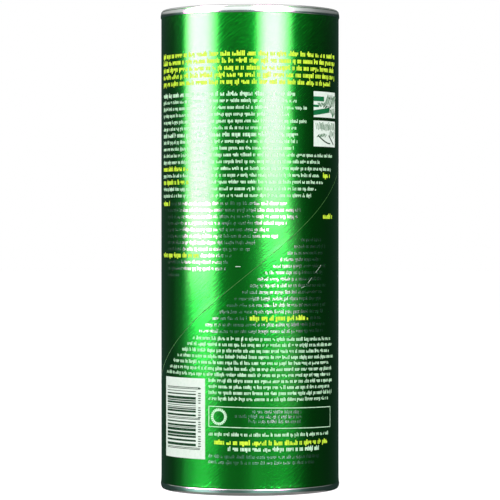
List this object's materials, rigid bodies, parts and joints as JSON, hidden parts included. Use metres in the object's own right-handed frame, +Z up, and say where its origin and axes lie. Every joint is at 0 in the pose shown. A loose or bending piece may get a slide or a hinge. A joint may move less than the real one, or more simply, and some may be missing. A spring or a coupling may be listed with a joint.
{
  "type": "scouring powder canister",
  "caption": "Sealed cylindrical canister: spiral-wound board tube in a green foil label, with rolled steel rims and a film seal over the shaker holes in its top.",
  "frame": {"origin": "centre of the base ring, on the surface that the canister stands on", "axes": "+Z up the tube's axis, -Y towards the printed side, +X to the right of a person who faces the print"},
  "size_m": [0.0762, 0.0762, 0.2032],
  "materials": {
    "board_and_powder": "kraft board, matte",
    "green_foil": "green lacquer over bright foil, glossy with a soft grain",
    "tinplate": "bright tin plate with light rolling marks",
    "seal_film": "satin film",
    "white_ink": "white ink under a glossy lacquer",
    "yellow_ink": "yellow ink under a glossy lacquer",
    "bare_foil": "bare bright foil",
    "dark_ink": "dark green ink under a glossy lacquer"
  },
  "bodies": {
    "root": {"canister_body": "board_and_powder", "label": "green_foil", "top_end": "tinplate", "bottom_end": "tinplate", "shaker_seal": "seal_film", "white_print": "white_ink", "yellow_print": "yellow_ink", "silver_print": "bare_foil", "bar_panel": "white_ink", "bar_marks": "dark_ink", "picture_panels": "white_ink"}
  },
  "joints": []
}
